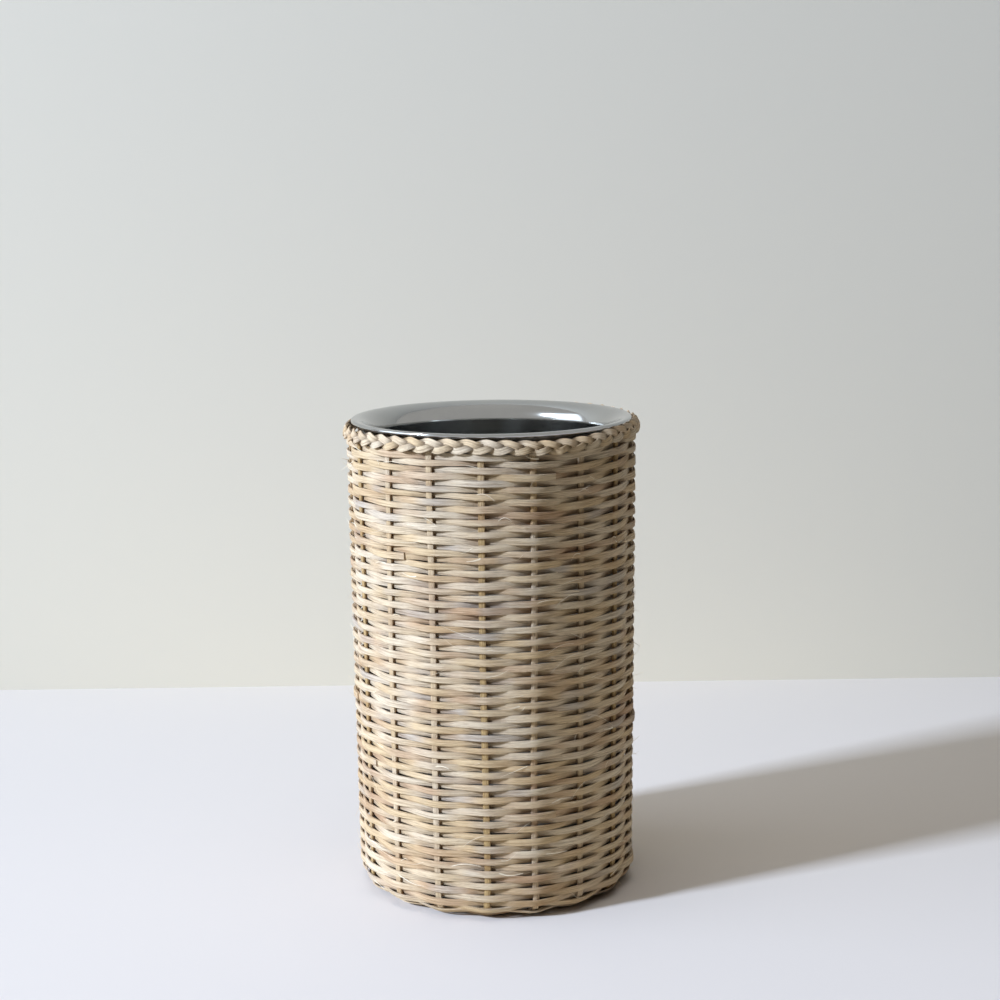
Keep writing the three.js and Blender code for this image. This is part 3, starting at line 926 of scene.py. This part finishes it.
def rattan_material(name, finish):
    """Split rattan: four tones, fine fibres along the strip, painted shade along its edges and deep in the
    crossings, and a satin skin.
    """
    material, tree, shader = new_material(name)
    tones, fineness = RATTAN_KINDS[name]
    strip = attribute(tree, "strip")["Vector"]
    tone = rattan_tone(tree, strip, finish, tones)
    fibre = place_group(tree, fibre_group, "Rattan Fibre", Strip=strip, Fineness=fineness)
    dark = mixed(tree, finish.darkness, tone, opaque(finish.bark))
    streaks = spread(tree, fibre["Fibre"], STREAK_DARK, (finish.streaks, 0.0))
    colour = mixed(tree, streaks, tone, dark)
    # Painted shade along the strip's edges, standing in for the shade between neighbouring strips.
    edges = spread(tree, fibre["Edge"], WHOLE, (0.0, finish.edges))
    colour = mixed(tree, edges, colour, dark)
    patch_place = vector_maths(tree, "MULTIPLY", object_place(tree), PATCHES_PER_METRE)["Vector"]
    patch_noise = noise_value(tree, patch_place, detail=4.0, roughness=0.62)
    patches = spread(tree, patch_noise, PATCH_RANGE, (0.0, finish.patches))
    colour = mixed(tree, patches, colour, opaque(finish.stain), "MULTIPLY")
    blotches = spread(tree, fibre["Blotch"], BLOTCH_DARK, (0.0, finish.blotches))
    colour = mixed(tree, blotches, colour, dark)
    # Painted shade deep in the crossings: where a strip passes inside a stake or a strand dives in, it
    # darkens towards a dark brown.
    sunk = spread(tree, attribute(tree, "sunk")["Fac"], WHOLE, (0.0, finish.crease_shade_strength))
    colour = mixed(tree, sunk, colour, opaque(finish.crease_shade_colour))
    tree.links.new(colour, shader.inputs["Base Color"])
    tree.links.new(spread(tree, fibre["Fibre"], WHOLE, SKIN_ROUGHNESS), shader.inputs["Roughness"])
    shader.inputs["Specular IOR Level"].default_value = SKIN_GLOSS
    add_bump(tree, shader, fibre["Fibre"], SKIN_BUMP)
    return material


def loose_material(name, finish):
    """Pale fibres that have come away from the skin."""
    material, tree, shader = new_material(name)
    tone = rattan_tone(tree, attribute(tree, "strip")["Vector"], finish, LOOSE_TONES)
    tree.links.new(tone, shader.inputs["Base Color"])
    shader.inputs["Roughness"].default_value = LOOSE_ROUGHNESS
    return material


def steel_material(name, finish):
    """Stainless sheet, with a haze where it is polished and fine lines where it is brushed."""
    material, tree, shader = new_material(name)
    tone, roughness, brushed = STEEL_KINDS[name]
    colour = getattr(finish, tone)
    dull = [DULL_STEEL * channel for channel in colour]
    turned = place_group(tree, turned_group, "Turned Steel", Place=object_place(tree))
    lines = maths(tree, "MULTIPLY", spread(tree, turned["Rings"], RING_RANGE), brushed)
    marks = maths(tree, "ADD", lines, maths(tree, "MULTIPLY", turned["Haze"], 1.0 - brushed))
    tree.links.new(mixed(tree, marks, opaque(colour), opaque(dull)), shader.inputs["Base Color"])
    tree.links.new(spread(tree, marks, WHOLE, roughness), shader.inputs["Roughness"])
    shader.inputs["Metallic"].default_value = 1.0
    shader.inputs["Anisotropic"].default_value = brushed
    turning = tree.nodes.new("ShaderNodeTangent")
    turning.direction_type = "RADIAL"
    turning.axis = "Z"
    tree.links.new(turning.outputs[0], shader.inputs["Tangent"])
    add_bump(tree, shader, turned["Rings"], RING_BUMP)
    return material


def seen_share(tree):
    """1 for what the camera sees, straight or in steel, and 0 for what only lights the pieces."""
    path = tree.nodes.new("ShaderNodeLightPath").outputs
    seen = maths(tree, "MAXIMUM", path["Is Camera Ray"], path["Is Glossy Ray"])
    return maths(tree, "MAXIMUM", seen, path["Is Transmission Ray"])


def show_either(tree, share, first, second, output):
    """Sends the first of two shaders to an output where the share is 0, and the second where it is 1."""
    either = tree.nodes.new("ShaderNodeMixShader")
    for source, socket in zip((share, first.outputs[0], second.outputs[0]), either.inputs):
        tree.links.new(source, socket)
    tree.links.new(either.outputs[0], tree.nodes[output].inputs["Surface"])


def plane_material(name, colour, stage):
    """A pale plane. It can be seen through from its back, so that it hides nothing in a view from there."""
    material, tree, shader = new_material(name)
    place = object_place(tree)
    to_lamp = Vector((*stage.key_place[:2], 0.0)).normalized()
    towards_lamp = vector_maths(tree, "DOT_PRODUCT", place, to_lamp)["Value"]
    near_lamp = spread(tree, towards_lamp, NEAR_LAMP, NEAR_LAMP_DULL)
    far = spread(tree, vector_maths(tree, "LENGTH", place)["Value"], FAR_AWAY, FAR_AWAY_DULL)
    unseen = maths(tree, "SUBTRACT", 1.0, seen_share(tree))
    dull = maths(tree, "MAXIMUM", near_lamp, maths(tree, "MULTIPLY", far, unseen))
    tinted = mixed(tree, unseen, opaque(colour), opaque(stage.bounce_colour), "MULTIPLY")
    tree.links.new(mixed(tree, dull, tinted, opaque(BLACK)), shader.inputs["Base Color"])
    shader.inputs["Roughness"].default_value = PLANE_ROUGHNESS
    shader.inputs["Specular IOR Level"].default_value = 0.0
    behind = tree.nodes.new("ShaderNodeNewGeometry").outputs["Backfacing"]
    clear = tree.nodes.new("ShaderNodeBsdfTransparent")
    show_either(tree, behind, shader, clear, "Material Output")
    return material


# Turned sheet

CORNER_STEPS = 8
FLARE_STEPS = 16
FLARE_UNDER_STEPS = 12
BEAD_STEPS = 14
BEAD_START = -150


def arc(radius, height, size, first, last, steps):
    """Points on an arc of a profile, with angles in degrees from the outward direction."""
    points = []
    for degrees in even_steps(first, last, steps):
        angle = math.radians(degrees)
        points.append((radius + size * math.cos(angle), height + size * math.sin(angle)))
    return points


def put_in_order(bm):
    """Sorts the faces of a mesh by their corners, because a spin leaves them in a chance order."""
    bm.verts.index_update()
    count = len(bm.verts)

    def order(face):
        corners = [vert.index for vert in face.verts]
        return min(corners) * count + max(corners)

    bm.faces.sort(key=order)


def turned_mesh(profile, steps):
    """A closed profile spun round the axis."""
    bm = bmesh.new()
    verts = [bm.verts.new((radius, 0.0, height)) for radius, height in profile]
    edges = [bm.edges.new((one, other)) for one, other in zip(verts, verts[1:] + verts[:1])]
    on_axis = [edge for edge in edges if all(vert.co.x < SAME_PLACE for vert in edge.verts)]
    edges = [edge for edge in edges if edge not in on_axis]
    for edge in on_axis:
        bm.edges.remove(edge)
    bmesh.ops.spin(
        bm,
        geom=verts + edges,
        cent=(0, 0, 0),
        axis=(0, 0, 1),
        angle=FULL_TURN,
        steps=steps,
        use_merge=True,
    )
    bmesh.ops.remove_doubles(bm, verts=bm.verts, dist=SAME_PLACE)
    put_in_order(bm)
    return bm


class LinerForm:
    """Profiles of the liner's three sheets, from the frame's boxes."""

    def __init__(self, liner):
        self.liner = liner
        cup_low, cup_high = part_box("liner_inner_cup")
        shell_low, shell_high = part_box("liner_outer_shell")
        self.bottom = shell_low.z
        self.rim_top = cup_high.z
        self.rim_radius = cup_high.y + liner.rim_reach
        self.cup_under = cup_low.z
        self.shell_radius = shell_high.y
        self.shell_top = shell_high.z - liner.rim_reach / 2
        self.bead_centre = self.rim_radius - liner.bead_radius
        self.cup_radius = self.shell_radius - 2 * liner.sheet - liner.air_gap
        self.flare = self.bead_centre - self.cup_radius
        self.flare_foot = self.rim_top - self.flare

    def cup(self):
        sheet, bead, corner = self.liner.sheet, self.liner.bead_radius, self.liner.cup_corner
        floor = self.cup_under + sheet
        under = self.flare - sheet
        join = 90 + math.degrees(math.asin(bead / under))
        return [
            (0.0, self.cup_under),
            *arc(self.cup_radius - corner, floor + corner, corner + sheet, -90, 0, CORNER_STEPS),
            *arc(self.bead_centre, self.flare_foot, under, 180, join, FLARE_UNDER_STEPS),
            *arc(self.bead_centre, self.rim_top - bead, bead, BEAD_START, 90, BEAD_STEPS),
            *arc(self.bead_centre, self.flare_foot, self.flare, 90, 180, FLARE_STEPS)[1:],
            *arc(self.cup_radius - corner, floor + corner, corner, 0, -90, CORNER_STEPS),
            (0.0, floor),
        ]

    def shell(self):
        sheet, corner = self.liner.sheet, self.liner.shell_corner
        radius, inside = self.shell_radius, self.shell_radius - sheet
        edge = radius - self.liner.flange
        return [
            (edge, self.bottom),
            *arc(radius - corner, self.bottom + corner, corner, -90, 0, CORNER_STEPS),
            (radius, self.shell_top),
            (inside, self.shell_top),
            *arc(radius - corner, self.bottom + corner, corner - sheet, 0, -90, CORNER_STEPS),
            (edge, self.bottom + sheet),
        ]

    def base(self):
        low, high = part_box("liner_base_plate")
        sheet = self.liner.sheet
        edge, rise = high.y, high.z - low.z - sheet
        step = edge - self.liner.base_step
        return [
            (0.0, low.z + rise),
            (step, low.z + rise),
            (step + rise, low.z),
            (edge, low.z),
            (edge, low.z + sheet),
            (step + rise, low.z + sheet),
            (step, high.z),
            (0.0, high.z),
        ]


# Operators

FIBRE_SEED_STEP = 100
FLOOR_SIDES = 96


class CHILLER_OT_stakes(bpy.types.Operator):
    """Make the stakes, which run down the wall and cross under the floor"""

    bl_idname = "chiller.stakes"
    bl_label = "Make Stakes"

    def execute(self, context):
        weave = context.scene.chiller_weave
        finish = context.scene.chiller_finish
        basket = Basket(weave)
        pale = shared(bpy.data.materials, rattan_material, "Stake Rattan", finish)
        honey = shared(bpy.data.materials, rattan_material, "Honey Stake Rattan", finish)
        for number, node in enumerate(LONG_STAKE_NODES):
            path = long_stake_path(basket, *divmod(number, weave.sticks_each_way))
            strips = [(stake_stations(path, weave), STRANDS["stake"] + number)]
            material = honey if number in HONEY_STAKES else pale
            strip_piece(f"stake_{number + 1}", strips, STAKE_SECTION, material, "rattan_stake", node)
        odd = stake_end(basket, basket.stake_count - 1, weave.odd_end)
        strips = [(stake_stations(odd, weave), STRANDS["odd_stake"])]
        strip_piece("stake_odd", strips, STAKE_SECTION, pale, "rattan_stake", "odd_stake")
        return {"FINISHED"}


class CHILLER_OT_wall(bpy.types.Operator):
    """Make the strips that spiral up the wall, with tails where one length ends on the next"""

    bl_idname = "chiller.wall"
    bl_label = "Make Wall Strips"

    def execute(self, context):
        basket = Basket(context.scene.chiller_weave)
        material = shared(bpy.data.materials, rattan_material, "Split Rattan", context.scene.chiller_finish)
        rng = random.Random(basket.weave.seed)
        strand = STRANDS["wall"]
        for number, node in enumerate(WALL_NODES):
            first = basket.join_count(number, len(WALL_NODES))
            last = basket.join_count(number + 1, len(WALL_NODES))
            if node == WALL_NODES[-1]:
                last = basket.end_count
            strips = []
            for start, end, join in strip_lengths(basket, first, last, rng):
                strips.append((wall_stations(basket, start, end, strand, join), strand))
                strand += 1
            strip_piece(f"wall_strip_{number + 1}", strips, STRIP_SECTION, material, "rattan_weaver", node)
        return {"FINISHED"}


class CHILLER_OT_floor(bpy.types.Operator):
    """Make the strips of the foot and the floor"""

    bl_idname = "chiller.floor"
    bl_label = "Make Foot and Floor Strips"

    def execute(self, context):
        weave = context.scene.chiller_weave
        material = shared(bpy.data.materials, rattan_material, "Split Rattan", context.scene.chiller_finish)
        basket = Basket(weave)
        foot_row = basket.bend_centre - weave.foot_width / 2
        foot = flat_weaver_stations(
            basket,
            weave.step_stakes - 2 * basket.stake_count,
            0,
            lambda count: foot_row + basket.row_number(count) * weave.foot_pitch,
            (weave.stake_thickness + weave.foot_thickness) / 2 + weave.fit_gap,
            weave.foot_width,
            weave.foot_thickness,
        )
        strips = [(foot, STRANDS["foot"])]
        strip_piece("foot_strip", strips, STRIP_SECTION, material, "rattan_weaver", "foot_weaver")
        pitch = weave.floor_width + weave.row_gap
        inner = weave.floor_start + weave.floor_width / 2
        outer = basket.dome_edge - weave.floor_width / 2
        floor = flat_weaver_stations(
            basket,
            0,
            math.floor((outer - inner) / pitch * basket.stake_count),
            lambda count: inner + count / basket.stake_count * pitch,
            (weave.stake_thickness + weave.strip_thickness) / 2 + weave.fit_gap,
            weave.floor_width,
            weave.strip_thickness,
        )
        strips = [(floor, STRANDS["floor"])]
        strip_piece("floor_strip", strips, STRIP_SECTION, material, "rattan_weaver", "floor_weaver")
        return {"FINISHED"}


class CHILLER_OT_plait(bpy.types.Operator):
    """Make the three strands of the plaited border"""

    bl_idname = "chiller.plait"
    bl_label = "Make Plaited Border"

    def execute(self, context):
        plait = context.scene.chiller_plait
        basket = Basket(context.scene.chiller_weave)
        material = shared(bpy.data.materials, rattan_material, "Plaited Rattan", context.scene.chiller_finish)
        for number, node in enumerate(PLAIT_NODES):
            strips = [(plait_stations(basket, plait, number), STRANDS["plait"] + number)]
            strip_piece(f"plait_{number + 1}", strips, STRIP_SECTION, material, "rattan_plait", node)
        return {"FINISHED"}


class CHILLER_OT_fibres(bpy.types.Operator):
    """Make the loose fibres and peeled slivers on the wall"""

    bl_idname = "chiller.fibres"
    bl_label = "Make Loose Fibres"

    def execute(self, context):
        weave = context.scene.chiller_weave
        basket = Basket(weave)
        material = shared(bpy.data.materials, loose_material, "Loose Rattan", context.scene.chiller_finish)
        rng = random.Random(weave.seed + FIBRE_SEED_STEP)
        for kind in LOOSE_KINDS:
            numbers = range(STRANDS["loose"], STRANDS["loose"] + getattr(weave, kind))
            strips = [(fibre_stations(basket, rng, kind), strand) for strand in numbers]
            strip_piece(f"loose_{kind}", strips, FIBRE_SECTION, material, "rattan_weaver")
        return {"FINISHED"}


class CHILLER_OT_liner(bpy.types.Operator):
    """Make the liner's cup, shell and base plate"""

    bl_idname = "chiller.liner"
    bl_label = "Make Steel Liner"

    def execute(self, context):
        liner = context.scene.chiller_liner
        finish = context.scene.chiller_finish
        form = LinerForm(liner)
        sheets = (
            ("steel_cup", form.cup(), "Polished Steel", "liner_inner_cup"),
            ("steel_shell", form.shell(), "Satin Steel", "liner_outer_shell"),
            ("steel_base", form.base(), "Satin Steel", "liner_base_plate"),
        )
        for name, profile, kind, node in sheets:
            material = shared(bpy.data.materials, steel_material, kind, finish)
            bm = turned_mesh(profile, liner.turn_steps)
            finish_piece(name, bm, material, "liner", [node])
        return {"FINISHED"}


class CHILLER_OT_stage(bpy.types.Operator):
    """Set up the pale floor, the backdrop, the light and the camera"""

    bl_idname = "chiller.stage"
    bl_label = "Set Up Stage"

    def execute(self, context):
        stage = context.scene.chiller_stage
        self.add_planes(context, stage)
        self.add_sky(context, stage)
        self.add_lamps(context, stage)
        self.add_camera(context, stage)
        context.scene.view_settings.view_transform = "Standard"
        return {"FINISHED"}

    def add_planes(self, context, stage):
        floor = bmesh.new()
        bmesh.ops.create_circle(floor, cap_ends=True, radius=stage.floor_radius, segments=FLOOR_SIDES)
        half = stage.backdrop_size / 2
        upright = Matrix.Translation((0.0, stage.floor_back, half)) @ Matrix.Rotation(math.pi / 2, 4, "X")
        backdrop = bmesh.new()
        bmesh.ops.create_grid(backdrop, x_segments=1, y_segments=1, size=half, matrix=upright)
        for name, colour, bm in (
            ("stage_floor", stage.floor_colour, floor),
            ("stage_backdrop", stage.wall_colour, backdrop),
        ):
            mesh = bpy.data.meshes.new(name)
            bm.to_mesh(mesh)
            bm.free()
            plane = bpy.data.objects.new(name, mesh)
            context.scene.collection.objects.link(plane)
            mesh.materials.append(shared(bpy.data.materials, plane_material, name, colour, stage))

    def add_sky(self, context, stage):
        """Soft light from above, which isn't seen itself: a plain colour is seen in its place."""
        world = bpy.data.worlds.new("Even Light")
        world.use_nodes = True
        tree = world.node_tree
        direction = tree.nodes.new("ShaderNodeTexCoord").outputs["Generated"]
        height = maths(tree, "MAXIMUM", split(tree, direction)["Z"], 0.0)
        top = maths(tree, "POWER", height, stage.sky_narrowness)
        above = tree.nodes["Background"]
        above.inputs["Color"].default_value = opaque(stage.sky_colour)
        tree.links.new(maths(tree, "MULTIPLY", top, stage.sky_top), above.inputs["Strength"])
        plain = tree.nodes.new("ShaderNodeBackground")
        plain.inputs["Color"].default_value = opaque(stage.plain_colour)
        show_either(tree, seen_share(tree), above, plain, "World Output")
        context.scene.world = world

    def add_lamps(self, context, stage):
        aim = Vector((0.0, 0.0, stage.lamp_aim))
        for name, power, size, place in (
            ("key_light", stage.key_power, stage.key_size, stage.key_place),
            ("side_light", stage.side_power, stage.side_size, stage.side_place),
        ):
            light = bpy.data.lights.new(name, "AREA")
            light.energy = power
            light.color = stage.lamp_colour
            light.size = size
            lamp = bpy.data.objects.new(name, light)
            lamp.location = place
            lamp.rotation_euler = (aim - lamp.location).to_track_quat("-Z", "Y").to_euler()
            lamp.visible_camera = False
            context.scene.collection.objects.link(lamp)

    def add_camera(self, context, stage):
        camera = bpy.data.cameras.new("camera")
        camera.lens = stage.camera_lens
        camera.sensor_width = stage.camera_sensor
        viewer = bpy.data.objects.new("camera", camera)
        viewer.matrix_world = (
            Matrix.Translation((0.0, -stage.camera_distance, stage.camera_height))
            @ Matrix.Rotation(stage.camera_yaw, 4, "Z")
            @ Matrix.Rotation(math.pi / 2 - stage.camera_pitch, 4, "X")
            @ Matrix.Rotation(stage.camera_roll, 4, "Z")
        )
        context.scene.collection.objects.link(viewer)
        context.scene.camera = viewer


class CHILLER_PT_panel(bpy.types.Panel):
    """Pieces of the chiller and the sizes that they are made from"""

    bl_label = "Bottle Chiller"
    bl_space_type = "VIEW_3D"
    bl_region_type = "UI"
    bl_category = "Chiller"

    def draw(self, context):
        for operator in PIECE_OPERATORS:
            self.layout.operator(operator.bl_idname)
        for name in SETTINGS:
            settings = getattr(context.scene, name)
            box = self.layout.box()
            for key in settings.__annotations__:
                box.prop(settings, key)


SETTINGS = {
    "chiller_weave": WeaveSettings,
    "chiller_plait": PlaitSettings,
    "chiller_liner": LinerSettings,
    "chiller_finish": FinishSettings,
    "chiller_stage": StageSettings,
}
PIECE_OPERATORS = (
    CHILLER_OT_stakes,
    CHILLER_OT_wall,
    CHILLER_OT_floor,
    CHILLER_OT_plait,
    CHILLER_OT_fibres,
    CHILLER_OT_liner,
    CHILLER_OT_stage,
)


def register():
    for name, settings in SETTINGS.items():
        bpy.utils.register_class(settings)
        setattr(bpy.types.Scene, name, PointerProperty(type=settings))
    for operator in PIECE_OPERATORS:
        bpy.utils.register_class(operator)
    bpy.utils.register_class(CHILLER_PT_panel)


def unregister():
    bpy.utils.unregister_class(CHILLER_PT_panel)
    for operator in reversed(PIECE_OPERATORS):
        bpy.utils.unregister_class(operator)
    for name, settings in reversed(SETTINGS.items()):
        delattr(bpy.types.Scene, name)
        bpy.utils.unregister_class(settings)


def main():
    register()
    bpy.ops.chiller.stage()
    bpy.ops.chiller.stakes()
    bpy.ops.chiller.wall()
    bpy.ops.chiller.floor()
    bpy.ops.chiller.plait()
    bpy.ops.chiller.fibres()
    bpy.ops.chiller.liner()


if __name__ == "__main__":
    main()
